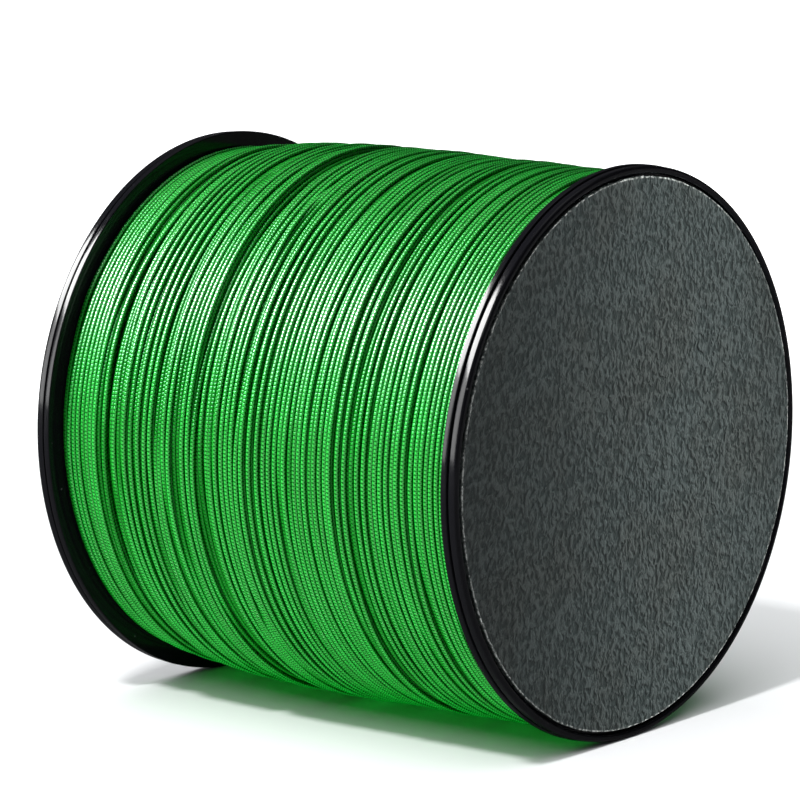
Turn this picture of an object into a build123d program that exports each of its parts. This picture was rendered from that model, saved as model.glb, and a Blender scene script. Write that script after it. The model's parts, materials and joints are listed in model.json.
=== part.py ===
"""Bulk spool of braided fishing line, lying on its two rims.

Frame: millimetres, +X along the spool's axis towards the front facing, +Z up, origin at the spool's centre.
A drum between two flanges carries the line, and an arbor tube runs through it for a winding spindle.
Each end is closed by a cover with a rounded lip, which pushes on with pegs and carries a leather-look facing.
"""
import os

from build123d import *

# Driving dimensions
flange_radius = 50.0
overall_width = 94.0

# Flanges
flange_thickness = 1.2
flange_edge_round = 0.2
spigot_depth = 10.0
spigot_wall = 2.0
hub_depth = 12.0
hub_wall = 2.5
rib_depth = 8.0
rib_thickness = 1.6

# Drum and arbor tube
drum_radius = 25.0
drum_wall = 2.0
arbor_bore_radius = 10.0
arbor_wall = 2.0

# End covers
cover_thickness = 1.9
lip_inner_radius = 48.6
lip_outer_radius = 49.85
lip_round = 0.5
groove_radius = 49.2
groove_width = 0.35
rear_opening_radius = 11.0

# Pegs on the covers and their sockets in the flanges
peg_count = 6
peg_radius = 1.5
peg_length = 5.0
peg_lead_in = 0.4
peg_clearance = 0.06
socket_depth = 6.0
boss_radius = 3.4
boss_floor = 1.2

# Facings and the adhesive under them
facing_radius = 48.0
facing_thickness = 1.0
facing_opening_radius = 13.0
adhesive_radius = 47.8
adhesive_thickness = 0.15
adhesive_opening_radius = 13.3

# Line: buried layers, the layers just below the surface, and the outer layers under a slightly domed crown.
# Each crown point is a place along half the winding's width and the radius there.
pack_radius = 42.0
outer_depth = 2.6
crown = [(-1.0, 46.5), (-0.76, 48.1), (-0.35, 49.2), (0.0, 49.25), (0.4, 48.8), (0.72, 48.5), (1.0, 48.2)]

# Tape that holds the start of the line on the drum
tape_thickness = 0.12
tape_width = 18.0
tape_arc = 70.0
tape_edge_gap = 4.0

# Places worked out from the dimensions above
face_x = overall_width / 2
seat_x = face_x - cover_thickness
inner_x = seat_x - flange_thickness
recess_depth = facing_thickness + adhesive_thickness
adhesive_x = face_x - recess_depth
facing_x = face_x - facing_thickness
drum_bore_radius = drum_radius - drum_wall
arbor_radius = arbor_bore_radius + arbor_wall
hub_radius = arbor_radius + hub_wall
spigot_bore_radius = drum_bore_radius - spigot_wall
peg_circle_radius = (hub_radius + spigot_bore_radius) / 2
rib_length = spigot_bore_radius - hub_radius + spigot_wall / 2
boss_depth = socket_depth + boss_floor - flange_thickness
rib_start = 180 / peg_count

# Each end of the spool has its own plane, with +Z pointing out of that end.
front_end = Plane(origin=(0, 0, 0), x_dir=(0, 1, 0), z_dir=(1, 0, 0))
rear_end = Plane(origin=(0, 0, 0), x_dir=(0, 1, 0), z_dir=(-1, 0, 0))


def make_flange(end):
    """A flange disc, with the spigot, hub, ribs and peg bosses that stand inside the drum."""
    with BuildPart() as flange:
        with BuildSketch(end.offset(inner_x)):
            Circle(flange_radius)
        extrude(amount=flange_thickness)
        fillet(flange.edges().filter_by(GeomType.CIRCLE), radius=flange_edge_round)
        with BuildSketch(end.offset(inner_x)):
            Circle(drum_bore_radius)
            Circle(spigot_bore_radius, mode=Mode.SUBTRACT)
        extrude(amount=-spigot_depth)
        with BuildSketch(end.offset(inner_x)):
            Circle(hub_radius)
        extrude(amount=-hub_depth)
        with BuildSketch(end.offset(inner_x)):
            with PolarLocations(peg_circle_radius, peg_count, start_angle=rib_start):
                Rectangle(rib_length, rib_thickness)
        extrude(amount=-rib_depth)
        with BuildSketch(end.offset(inner_x)):
            with PolarLocations(peg_circle_radius, peg_count):
                Circle(boss_radius)
        extrude(amount=-boss_depth)
        with BuildSketch(end.offset(seat_x)):
            with PolarLocations(peg_circle_radius, peg_count):
                Circle(peg_radius + peg_clearance)
        extrude(amount=-socket_depth, mode=Mode.SUBTRACT)
        with BuildSketch(end.offset(seat_x)):
            Circle(arbor_radius)
        extrude(amount=-(flange_thickness + hub_depth), mode=Mode.SUBTRACT)
    return flange.part


def make_cover(end, opening_radius):
    """An end cover: a thin floor, a rounded lip that stands a groove's width off the flange, and the pegs."""
    outward = Axis(end.origin, end.z_dir)
    with BuildPart() as cover:
        with BuildSketch(end.offset(seat_x)):
            Circle(lip_outer_radius)
        extrude(amount=cover_thickness)
        with BuildSketch(end.offset(face_x)):
            Circle(lip_inner_radius)
        extrude(amount=-recess_depth, mode=Mode.SUBTRACT)
        fillet(cover.faces().sort_by(outward)[-1].edges(), radius=lip_round)
        with BuildSketch(end.offset(seat_x)):
            Circle(flange_radius)
            Circle(groove_radius, mode=Mode.SUBTRACT)
        extrude(amount=groove_width, mode=Mode.SUBTRACT)
        with BuildSketch(end.offset(seat_x)):
            with PolarLocations(peg_circle_radius, peg_count):
                Circle(peg_radius)
        extrude(amount=-peg_length)
        chamfer(cover.edges().filter_by(GeomType.CIRCLE).sort_by(outward)[:peg_count], length=peg_lead_in)
        if opening_radius > 0:
            with BuildSketch(end.offset(seat_x)):
                Circle(opening_radius)
            extrude(amount=cover_thickness, mode=Mode.SUBTRACT)
    return cover.part


def make_disc(end, start, thickness, radius, opening_radius):
    """A flat disc, or a ring round the spindle's opening."""
    with BuildPart() as flat_disc:
        with BuildSketch(end.offset(start)):
            Circle(radius)
            if opening_radius > 0:
                Circle(opening_radius, mode=Mode.SUBTRACT)
        extrude(amount=thickness)
    return flat_disc.part


def make_tube(half_length, outer_radius, bore_radius):
    """A plain tube along the spool's axis, centred on the spool."""
    with BuildPart() as tube:
        with BuildSketch(front_end):
            Circle(outer_radius)
            Circle(bore_radius, mode=Mode.SUBTRACT)
        extrude(amount=half_length, both=True)
    return tube.part


def save(part, name, color):
    """Labels a finished piece and writes its STEP file."""
    part.label = name
    part.color = color
    export_step(part, f"parts/{name}.step")


black = Color(0.03, 0.03, 0.035)
grey_green = Color(0.22, 0.25, 0.25)
line_green = Color(0.05, 0.62, 0.22)
dark_green = Color(0.02, 0.35, 0.12)
clear_white = Color(0.85, 0.85, 0.8)

os.makedirs("parts", exist_ok=True)

# The body: drum, arbor tube and flanges
save(make_tube(inner_x, drum_radius, drum_bore_radius), "core_drum", black)
save(make_tube(seat_x, arbor_radius, arbor_bore_radius), "arbor_tube", black)
save(make_flange(front_end), "front_flange", black)
save(make_flange(rear_end), "rear_flange", black)

# The end covers with their facings
save(make_cover(front_end, 0), "front_cover", black)
save(make_disc(front_end, adhesive_x, adhesive_thickness, adhesive_radius, 0), "front_adhesive", clear_white)
save(make_disc(front_end, facing_x, facing_thickness, facing_radius, 0), "front_facing", grey_green)
save(make_cover(rear_end, rear_opening_radius), "rear_cover", black)
save(make_disc(rear_end, adhesive_x, adhesive_thickness, adhesive_radius, adhesive_opening_radius),
     "rear_adhesive", clear_white)
save(make_disc(rear_end, facing_x, facing_thickness, facing_radius, facing_opening_radius),
     "rear_facing", grey_green)

# The tape lies on the drum near the rear flange, where the winding starts.
with BuildPart() as start_tape:
    with BuildSketch(Plane.XZ):
        tape_centre = (-inner_x + tape_edge_gap + tape_width / 2, drum_radius + tape_thickness / 2)
        with Locations(tape_centre):
            Rectangle(tape_width, tape_thickness)
    revolve(axis=Axis.X, revolution_arc=tape_arc)
save(start_tape.part, "start_tape", clear_white)

# The line, from the drum outwards: the buried layers close over the tape.
with BuildPart() as line_pack:
    with BuildSketch(front_end):
        Circle(pack_radius)
        Circle(drum_radius, mode=Mode.SUBTRACT)
    extrude(amount=inner_x, both=True)
    add(start_tape.part, mode=Mode.SUBTRACT)
save(line_pack.part, "line_pack", dark_green)

crest_points = [(place * inner_x, radius) for place, radius in crown]
base_points = [(x, radius - outer_depth) for x, radius in crest_points]

with BuildPart() as line_middle:
    with BuildSketch(Plane.XZ):
        with BuildLine():
            base = Spline(*base_points)
            Polyline(base @ 1, (inner_x, pack_radius), (-inner_x, pack_radius), base @ 0)
        make_face()
    revolve(axis=Axis.X)
save(line_middle.part, "line_middle", dark_green)

with BuildPart() as line_outer:
    with BuildSketch(Plane.XZ):
        with BuildLine():
            crest = Spline(*crest_points)
            base = Spline(*base_points)
            Line(crest @ 0, base @ 0)
            Line(crest @ 1, base @ 1)
        make_face()
    revolve(axis=Axis.X)
save(line_outer.part, "line_outer", line_green)
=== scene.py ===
"""Looks of a bulk spool of braided fishing line, built round its CAD frame.

Metres, +X out of the front facing, +Z up, origin at the spool's centre. The line is wound turn by turn, the
flanges and covers are turned from profiles, and the facings are leather-look discs with a real grain.
"""

import json
import math

import bmesh
import bpy
import numpy as np
from bpy.props import FloatProperty, FloatVectorProperty, IntProperty, PointerProperty
from mathutils import Matrix, Vector

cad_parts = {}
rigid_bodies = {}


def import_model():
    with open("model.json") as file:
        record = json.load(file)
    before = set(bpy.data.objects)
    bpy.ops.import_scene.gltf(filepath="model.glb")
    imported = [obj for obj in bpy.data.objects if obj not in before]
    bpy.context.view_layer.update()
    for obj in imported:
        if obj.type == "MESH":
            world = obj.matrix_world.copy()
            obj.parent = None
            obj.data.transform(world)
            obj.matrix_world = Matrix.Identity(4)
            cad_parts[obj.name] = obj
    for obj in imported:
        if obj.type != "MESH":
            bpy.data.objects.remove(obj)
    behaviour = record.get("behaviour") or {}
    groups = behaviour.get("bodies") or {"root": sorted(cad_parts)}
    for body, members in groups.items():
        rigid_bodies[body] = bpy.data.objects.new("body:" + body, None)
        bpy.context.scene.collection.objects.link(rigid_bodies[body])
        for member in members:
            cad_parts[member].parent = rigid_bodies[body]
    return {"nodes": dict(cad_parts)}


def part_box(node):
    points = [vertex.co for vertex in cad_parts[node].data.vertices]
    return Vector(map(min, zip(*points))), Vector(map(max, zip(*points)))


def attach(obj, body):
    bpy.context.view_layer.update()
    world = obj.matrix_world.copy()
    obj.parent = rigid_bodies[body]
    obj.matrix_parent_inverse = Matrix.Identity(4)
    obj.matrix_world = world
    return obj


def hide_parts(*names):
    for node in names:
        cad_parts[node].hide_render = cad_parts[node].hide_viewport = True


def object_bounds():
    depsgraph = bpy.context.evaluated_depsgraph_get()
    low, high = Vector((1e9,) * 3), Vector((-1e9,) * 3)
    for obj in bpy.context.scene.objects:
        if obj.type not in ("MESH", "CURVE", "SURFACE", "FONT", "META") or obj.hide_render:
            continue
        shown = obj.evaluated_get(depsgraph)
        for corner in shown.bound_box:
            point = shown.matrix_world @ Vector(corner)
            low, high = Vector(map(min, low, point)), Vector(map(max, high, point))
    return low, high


bl_info = {
    "name": "Fishing line spool",
    "version": (1, 0, 0),
    "blender": (4, 5, 0),
    "location": "View3D > Sidebar > Spool",
    "description": "Winds the line, turns the flanges and covers, and finishes a bulk spool of fishing line",
    "category": "Object",
}

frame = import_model()
cad_box = [list(corner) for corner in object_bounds()]

SPOOL = "spool"
FRONT_END = "front_end"
REAR_END = "rear_end"
MM = 0.001


def outer_radius(node):
    """The radius of a round CAD node about the spool's axis."""
    return float(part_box(node)[1][2])


# Places along the axis and radii that the pieces are built from, read from the frame.
INNER_X = float(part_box("line_outer")[1][0])
FACE_X = float(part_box("front_facing")[1][0])
FACING_X = float(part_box("front_facing")[0][0])
RECESS_X = float(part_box("front_adhesive")[0][0])
SEAT_X = float(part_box("arbor_tube")[1][0])
FLANGE_RADIUS = outer_radius("front_flange")
LIP_RADIUS = outer_radius("front_cover")
FACING_RADIUS = outer_radius("front_facing")
DRUM_RADIUS = outer_radius("core_drum")
ARBOR_RADIUS = outer_radius("arbor_tube")
FLOOR_Z = float(cad_box[0][2])

# Sizes inside the flanges and covers, which a node's box doesn't give.
EDGE_ROUND = 0.2 * MM
LIP_INNER_RADIUS = 48.6 * MM
LIP_ROUND = 0.5 * MM
LIP_BACK_ROUND = 0.12 * MM
RECESS_ROUND = 0.2 * MM
GROOVE_RADIUS = 49.2 * MM
GROOVE_WIDTH = 0.35 * MM
REAR_OPENING_RADIUS = 11.0 * MM
FACING_OPENING_RADIUS = 13.0 * MM
WALL = 2.0 * MM
HUB_RADIUS = ARBOR_RADIUS + 2.5 * MM
HUB_DEPTH = 12.0 * MM
SPIGOT_RADIUS = DRUM_RADIUS - WALL
SPIGOT_DEPTH = 10.0 * MM
RIB_DEPTH = 8.0 * MM
RIB_THICKNESS = 1.6 * MM
PEG_COUNT = 6
PEG_RADIUS = 1.5 * MM
PEG_LENGTH = 5.0 * MM
PEG_LEAD_IN = 0.4 * MM
SOCKET_RADIUS = 1.56 * MM
SOCKET_DEPTH = 6.0 * MM
SOCKET_OVERCUT = 1.0 * MM
BOSS_RADIUS = 3.4 * MM
BOSS_DEPTH = 5.0 * MM
PEG_CIRCLE_RADIUS = (HUB_RADIUS + SPIGOT_RADIUS - WALL) / 2
PEG_ANGLES = [2 * math.pi * i / PEG_COUNT for i in range(PEG_COUNT)]
RIB_ANGLES = [angle + math.pi / PEG_COUNT for angle in PEG_ANGLES]
MOULDING_CREASE = 32.0
FACING_CREASE = 60.0

# How the turns settle: pulls towards a low place, the guide and a straight run, and how far one presses in.
LINE_SQUARENESS = 2.9
LAYER_RISE = 0.8
LOW_PULL = 1.0
GUIDE_PULL = 0.45
STRAIGHT_PULL = 30.0
SINK = 0.05
EASE_REACH = 2
UNREACHED = 1e9

# The grid that the turns are laid on, and the places beside its guide that a turn may take, in cells.
CELL = 0.05 * MM
OFFSET_COUNT = 6
OFFSET_CELLS = 2

# How a turn's step varies: its spread, the least gap as a share of the widest, and the limits of evening.
STEP_SPREAD = 0.03
LEAST_GAP = 0.35
STEP_LIMITS = (0.85, 1.7)
EVEN_REACH = 1.5 * MM
EVENING = 1.2

# How the guide wanders, slowly and quickly: millimetres, and samples from one swing to the next.
WANDER_SAMPLES = 40000
DRIFT, DRIFT_SAMPLES = 0.3, 900
SWAY, SWAY_SAMPLES = 0.12, 60

# The finished winding against its crown, the reach of a turn's shade, and the size of a mesh of turns.
CROWN_GAP = 0.15
CROWN_BANDS = 60
DEPTH_REACH = 1.0 * MM
EVENED_SHARE = 0.8
PATCH_TURN = 8
PATCH_WIDTH = 2.2 * MM
TURNS_PER_PIECE = 60

# The line's maps: the part of a turn past which a face has wrapped round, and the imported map's margins.
WRAP_SPAN = 0.6
WRAP_START = 0.3
MEAN_TURN_SHARE = 0.97
BAKE_MARGIN, BAKE_WIDTH, BAKE_OVERRUN = 0.002, 0.99, 1.005
ROW_MARGIN, ROW_HEIGHT = 0.04, 0.92

# The braid: how far one strand rides over the other, how softly they meet, and its fibres in each repeat.
STRAND_LIFT = 0.22
STRAND_BLEND = 0.35
FIBRES_AROUND = 26.0
FIBRES_ALONG = 2.3
STRAND_RELIEF = 0.06 * MM
FIBRE_RELIEF = 0.01 * MM
TURN_RELIEF = 0.3 * MM
BURIED_STRAND_SHARE = 0.15
TINT_RUNS = (18.0, 0.0, 0.0)
DULL_GREEN = (0.2, 0.5, 0.2)
# Painted shade: the green that the line's colour is multiplied by on turn flanks and on turns deep in the
# winding; FLANK_SHADE and DEEP_SHADE give how strongly each darkens.
VALLEY_SHADE_GREEN = (0.06, 0.38, 0.08)
SHEEN_GREEN = (0.2, 1.0, 0.4, 1.0)
FLANK_SHADE = 0.75
DEEP_SHADE = 0.85

# Handling marks on plastic: scales in repeats to a metre, and how much each mark roughens.
SMEAR_SCALE, SMEAR_SHARE = 60.0, 0.09
HAIR_SCALE, HAIR_SHARE = (4000.0, 260.0, 260.0), 0.12
PEEL_SCALE = 900.0
DUST_SCALE = 420.0
DUST_PATCH_SCALE = 220.0
GLOSS_ROUGHNESS, GLOSS_RELIEF, GLOSS_DUST = 0.13, 0.004 * MM, (0.12, 0.12, 0.12)
INNER_ROUGHNESS, INNER_RELIEF, INNER_DUST = 0.42, 0.008 * MM, (0.2, 0.2, 0.19)
DRAW_SCALE, DRAW_RELIEF = (40.0, 2500.0, 2500.0), 0.01 * MM

# The leather look: scales in repeats to a metre, reliefs, and how far in its pale cut edge reaches.
PORES_PER_GRAIN = 5.0
RIDGES_PER_GRAIN = 1.2
RIDGE_STRETCH = (1.0, 1.0, 0.8)
WARP_REACH = 1.4
BLOTCH_SCALE, BLOTCH_TINT = 45.0, (0.95, 0.82, 0.76)
GRAIN_RELIEF, PORE_RELIEF = 0.3 * MM, 0.05 * MM
CUT_FIBRE_SCALE = 1500.0
CUT_EDGE_SIDE = (0.32 * MM, 0.12 * MM)
CUT_EDGE_TOP = (0.35 * MM, 0.15 * MM)
LUMP_SCALE, LUMP_SHARE, GRAIN_DATUM = 90.0, 0.5, 1.4
EDGE_WAVES = range(3, 150)
EDGE_STEPS = 4
EDGE_MIDDLE = 0.35
OPENING_CHAMFER = 0.3

# Adhesive film and crepe tape.
CLOUD_SCALE, CLOUD_RELIEF = 180.0, 0.02 * MM
FILM_THIN, FILM_THICK = (0.5, 0.49, 0.42), (0.8, 0.8, 0.75)
CREPE_SCALE, CREPE_RELIEF = (300.0, 2400.0, 2400.0), 0.05 * MM
CREPE_LOW, CREPE_HIGH = (0.5, 0.44, 0.3), (0.78, 0.73, 0.58)

# The softboxes, by setting: name, where it stands, and its width and height.
SOFTBOXES = {
    "key": ("key softbox", (-0.74, -0.585, 0.79), (0.6, 0.5)),
    "side": ("side softbox", (0.42, -0.75, 0.95), (0.25, 0.25)),
    "roof": ("roof softbox", (-0.1, 0.3, 1.3), (1.0, 0.8)),
    "bounce": ("bounce softbox", (-0.15, -0.45, -0.8), (0.5, 0.5)),
    "floor_key": ("floor key", (0.122, -0.811, 1.0), (0.12, 0.12)),
    "floor_fill": ("floor fill", (0.0, -0.3, 0.95), (2.0, 2.0)),
    "facing": ("facing strip", (0.3, 0.36, 0.15), (0.03, 0.16)),
    "rim": ("rim softbox", (-0.7, -0.85, 0.3), (0.3, 0.6)),
}
FACING_LIGHT_AIM = (0.047, 0.02, 0.0)
FACING_LIGHT_SPREAD = math.radians(11.0)

# The floor, the room and the camera's sensor.
FLOOR_REACH = 4.0
FLOOR_GLOW_START = 0.16
FLOOR_GLOW_END = 0.5
FLOOR_WORN = (0.76, 0.76, 0.77)
FLOOR_REFLECTED = 0.12
ROOM_COLOR = (0.93, 0.96, 1.0, 1.0)
SENSOR_WIDTH = 36.0
CLIP_END = 50.0

# Materials and shader groups that several pieces share, made once.
SHARED = {}


def length_setting(name, description, default):
    """A length in metres, kept with the scene."""
    return FloatProperty(name=name, description=description, default=default, unit="LENGTH")


def power_setting(name, description, default):
    """A lamp's power in watts, kept with the scene."""
    return FloatProperty(name=name, description=description, default=default, unit="POWER")


def angle_setting(name, description, degrees):
    """An angle, kept with the scene."""
    return FloatProperty(name=name, description=description, default=math.radians(degrees), subtype="ANGLE")


def plain_setting(name, description, default):
    """A number without a unit, kept with the scene."""
    return FloatProperty(name=name, description=description, default=default)


def whole_setting(name, description, default):
    """A whole number, kept with the scene."""
    return IntProperty(name=name, description=description, default=default)


def color_setting(name, description, default):
    """A colour, kept with the scene."""
    return FloatVectorProperty(name=name, description=description, default=default, subtype="COLOR", size=3)


class LineSettings(bpy.types.PropertyGroup):
    """The braided line and how it is wound."""
    width: length_setting("Line width", "Width of a turn, flattened a little by tension", 0.8 * MM)
    height: length_setting("Line height", "Height of a turn, flattened a little by tension", 0.7 * MM)
    close_step: length_setting("Close step", "Advance per turn where the turns lie side by side", 0.78 * MM)
    open_step: length_setting("Open step", "Most that a turn skips where a gap is left", 0.62 * MM)
    open_share: plain_setting("Open share", "Share of the turns that leave a gap", 0.3)
    layers: whole_setting("Layers", "Layers of turns that are wound and shown", 3)
    steps: whole_setting("Steps per turn", "Points along each turn", 200)
    profile_points: whole_setting("Profile points", "Points round the line", 8)
    seed: whole_setting("Seed", "Seed of the winding's irregularity", 7)
    strand_pitch: length_setting("Braid pitch", "Length of one braid repeat", 0.66 * MM)
    light_color: color_setting("Light green", "Colour of the strands' crests", (0.0015, 0.52, 0.034))
    # Painted shade: the dark green that the crest mask puts between the strands and between buried turns.
    gap_shade_color: color_setting("Deep green", "Colour between the strands", (0.0006, 0.085, 0.004))


class PlasticSettings(bpy.types.PropertyGroup):
    """The glossy flanges and covers, and the plain pieces inside."""
    color: color_setting("Black", "Colour of the glossy plastic", (0.0035, 0.0035, 0.0045))
    inner_color: color_setting("Inner black", "Colour of the drum and arbor tube", (0.012, 0.012, 0.013))
    segments: whole_setting("Segments", "Steps round a turned piece", 256)


class FacingSettings(bpy.types.PropertyGroup):
    """The leather-look facings."""
    color: color_setting("Grey green", "Colour of the leather look", (0.027, 0.0335, 0.0325))
    # Painted shade: the darker colour put in the creases of the grain.
    crease_shade_color: color_setting("Crease", "Colour in the creases of the grain", (0.014, 0.0185, 0.018))
    edge_color: color_setting("Cut edge", "Colour of the fibres at the cut edge", (0.22, 0.23, 0.22))
    grain_size: length_setting("Grain size", "Width of one ridge of the grain", 1.05 * MM)
    grain_depth: length_setting("Grain depth", "Depth of the creases", 0.09 * MM)
    edge_round: length_setting("Edge round", "Radius of the facing's upper edge", 0.15 * MM)
    edge_unevenness: length_setting("Edge unevenness", "How far the cut edge wanders", 0.16 * MM)
    hub_ring: length_setting("First ring", "Radius of the first ring of points", 0.6 * MM)
    rings: whole_setting("Rings", "Rings of points across a facing", 110)
    segments: whole_setting("Segments", "Points round a facing", 560)
    seed: whole_setting("Seed", "Seed of the cut edge", 3)


class StageSettings(bpy.types.PropertyGroup):
    """The floor, the lights and the camera."""
    floor_color: color_setting("Floor", "Colour of the floor", (0.79, 0.8, 0.81))
    key_power: power_setting("Key light", "Power of the large softbox at the left", 47.0)
    bounce_power: power_setting("Bounce light", "Power of the light from below on the line", 11.0)
    floor_key_power: power_setting("Floor key", "Power of the light that throws the shadow", 13.5)
    floor_fill_power: power_setting("Floor fill", "Power of the wide light over the floor", 26.0)
    facing_power: power_setting("Facing light", "Power of the light that grazes the facing", 0.125)
    rim_power: power_setting("Rim light", "Power of the tall softbox seen in the rims", 6.0)
    side_power: power_setting("Side light", "Power of the softbox on the facing's side", 1.0)
    roof_power: power_setting("Roof light", "Power of the wide softbox overhead", 1.2)
    floor_glow: plain_setting("Floor glow", "How far the floor brightens away from the spool", 1.0)
    world_strength: plain_setting("Room light", "Strength of the light from all round", 0.14)
    world_reflected: plain_setting("Reflected room", "How bright the room is in reflections", 0.03)
    lens: plain_setting("Lens", "Focal length of the camera in millimetres", 185.89)
    azimuth: angle_setting("Azimuth", "Where the camera stands round the spool", 38.723)
    elevation: angle_setting("Elevation", "How far the camera stands above the horizon", 9.517)
    distance: length_setting("Distance", "From the camera to the spool's centre", 0.73958)
    side_step: length_setting("Side step", "How far the camera is moved to its left", 3.544 * MM)
    lift: length_setting("Lift", "How far the camera is moved up", 4.646 * MM)


# ---------------------------------------------------------------- node helpers


def add_node(tree, kind, inputs=None, **settings):
    """Adds a node, sets its properties, and fills or links its inputs by name or number."""
    made = tree.nodes.new(kind)
    for key, value in settings.items():
        setattr(made, key, value)
    for key, value in (inputs or {}).items():
        if isinstance(value, bpy.types.NodeSocket):
            tree.links.new(value, made.inputs[key])
        else:
            made.inputs[key].default_value = value
    return made


def calc(tree, operation, *values):
    """One Math node's result."""
    return add_node(tree, "ShaderNodeMath", dict(enumerate(values)), operation=operation).outputs[0]


def times(tree, *values):
    """Two values multiplied."""
    return calc(tree, "MULTIPLY", *values)


def plus(tree, *values):
    """Two values added."""
    return calc(tree, "ADD", *values)


def vector_calc(tree, operation, inputs, output=0):
    """One Vector Math node's result, with its inputs by number."""
    return add_node(tree, "ShaderNodeVectorMath", inputs, operation=operation).outputs[output]


def combine(tree, *parts):
    """A vector from its parts."""
    return add_node(tree, "ShaderNodeCombineXYZ", dict(enumerate(parts))).outputs[0]


def separate(tree, vector):
    """A vector's three parts."""
    return add_node(tree, "ShaderNodeSeparateXYZ", {0: vector}).outputs


def remap(tree, value, low, high, new_low=0.0, new_high=1.0):
    """value mapped from low..high to new_low..new_high with soft ends."""
    inputs = {"Value": value, "From Min": low, "From Max": high, "To Min": new_low, "To Max": new_high}
    return add_node(tree, "ShaderNodeMapRange", inputs, interpolation_type="SMOOTHSTEP").outputs[0]


def mix_color(tree, factor, first, second, blend="MIX"):
    """Two colours mixed; each is another node's, or three channels."""
    inputs = {0: factor}
    for place, color in ((6, first), (7, second)):
        inputs[place] = color if isinstance(color, bpy.types.NodeSocket) else (*color, 1.0)
    return add_node(tree, "ShaderNodeMix", inputs, data_type="RGBA", blend_type=blend).outputs[2]


def noise(tree, vector, scale, detail=3.0, roughness=0.5, output=0):
    """A noise texture's value."""
    inputs = {"Vector": vector, "Scale": scale, "Detail": detail, "Roughness": roughness}
    return add_node(tree, "ShaderNodeTexNoise", inputs).outputs[output]


def stretch(tree, vector, scale):
    """A vector scaled along its axes."""
    return vector_calc(tree, "MULTIPLY", {0: vector, 1: scale})


SOCKETS = {"shape": "NodeSocketGeometry", "vector": "NodeSocketVector", "number": "NodeSocketFloat",
           "whole": "NodeSocketInt"}


def new_group(name, kind, ins, outs):
    """An empty node group with named sockets, what it is given, and what it has to fill."""
    tree = bpy.data.node_groups.new(name, kind)
    for label, sort, *default in ins:
        socket = tree.interface.new_socket(label, in_out="INPUT", socket_type=SOCKETS[sort])
        if default:
            socket.default_value = default[0]
    for label, sort in outs:
        tree.interface.new_socket(label, in_out="OUTPUT", socket_type=SOCKETS[sort])
    return tree, tree.nodes.new("NodeGroupInput").outputs, tree.nodes.new("NodeGroupOutput").inputs


def use_group(tree, group, inputs):
    """The outputs of a group placed in a material with its own values."""
    return add_node(tree, "ShaderNodeGroup", inputs, node_tree=group).outputs


def new_material(name):
    """A material and its empty tree."""
    material = bpy.data.materials.new(name)
    material.use_nodes = True
    material.node_tree.nodes.clear()
    return material, material.node_tree


def finish_material(tree, inputs):
    """Ends a material in one Principled BSDF."""
    surface = add_node(tree, "ShaderNodeBsdfPrincipled", inputs)
    add_node(tree, "ShaderNodeOutputMaterial", {"Surface": surface.outputs[0]})


def bump(tree, height, distance, strength=1.0, normal=None):
    """A Bump node's normal, with the height's full range worth `distance` metres."""
    inputs = {"Strength": strength, "Distance": distance, "Height": height}
    if normal is not None:
        inputs["Normal"] = normal
    return add_node(tree, "ShaderNodeBump", inputs).outputs[0]


def object_place(tree):
    """Where a point lies on the object, in metres."""
    return add_node(tree, "ShaderNodeTexCoord").outputs["Object"]


# ---------------------------------------------------------------- shared effects


def make_braid_group():
    """Four crossing strands: along is in braid repeats, around in turns of the line's own section."""
    group, given, result = new_group(
        "Braid", "ShaderNodeTree", [("Along", "number", 0.0), ("Around", "number", 0.0)],
        [("Height", "number"), ("Crest", "number"), ("Fibre", "number")])
    turn = times(group, given["Around"], 4 * math.pi)
    run = times(group, given["Along"], 2 * math.pi)
    right_hand = calc(group, "COSINE", plus(group, turn, run))
    left_hand = calc(group, "COSINE", calc(group, "SUBTRACT", turn, run))
    over = times(group, calc(group, "COSINE", turn), STRAND_LIFT)
    right_high = plus(group, right_hand, over)
    left_high = calc(group, "SUBTRACT", left_hand, over)
    lay = calc(group, "SMOOTH_MAX", right_high, left_high, STRAND_BLEND)
    height = remap(group, lay, -1.1, 1.25)
    around_wide = times(group, given["Around"], FIBRES_AROUND)
    along_short = times(group, given["Along"], FIBRES_ALONG)
    fibre = noise(group, combine(group, along_short, around_wide), 1.6, 2.0, 0.6)
    for name, value in (("Height", height), ("Crest", remap(group, height, 0.35, 0.95)), ("Fibre", fibre)):
        group.links.new(value, result[name])
    return group


def make_wear_group():
    """Fine handling marks on moulded plastic: hairline rubs, a faint orange peel and specks of dust."""
    group, given, result = new_group(
        "Handling marks", "ShaderNodeTree",
        [("Place", "vector"), ("Rub", "number", 1.0), ("Dust", "number", 1.0)],
        [("Roughness", "number"), ("Height", "number"), ("Dust mask", "number")])
    place = given["Place"]
    smear = remap(group, noise(group, place, SMEAR_SCALE, 4.0, 0.6), 0.35, 0.75)
    hairs = remap(group, noise(group, stretch(group, place, HAIR_SCALE), 1.0, 2.0), 0.6, 0.72)
    marks = plus(group, times(group, smear, SMEAR_SHARE), times(group, hairs, HAIR_SHARE))
    specks = add_node(group, "ShaderNodeTexVoronoi", {"Vector": place, "Scale": DUST_SCALE}).outputs[0]
    dust = times(group, remap(group, specks, 0.1, 0.05), given["Dust"])
    patch = remap(group, noise(group, place, DUST_PATCH_SCALE, 1.0), 0.52, 0.66)
    for name, value in (("Roughness", times(group, marks, given["Rub"])),
                        ("Height", noise(group, place, PEEL_SCALE, 2.0)),
                        ("Dust mask", times(group, dust, patch))):
        group.links.new(value, result[name])
    return group


# ---------------------------------------------------------------- materials


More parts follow.
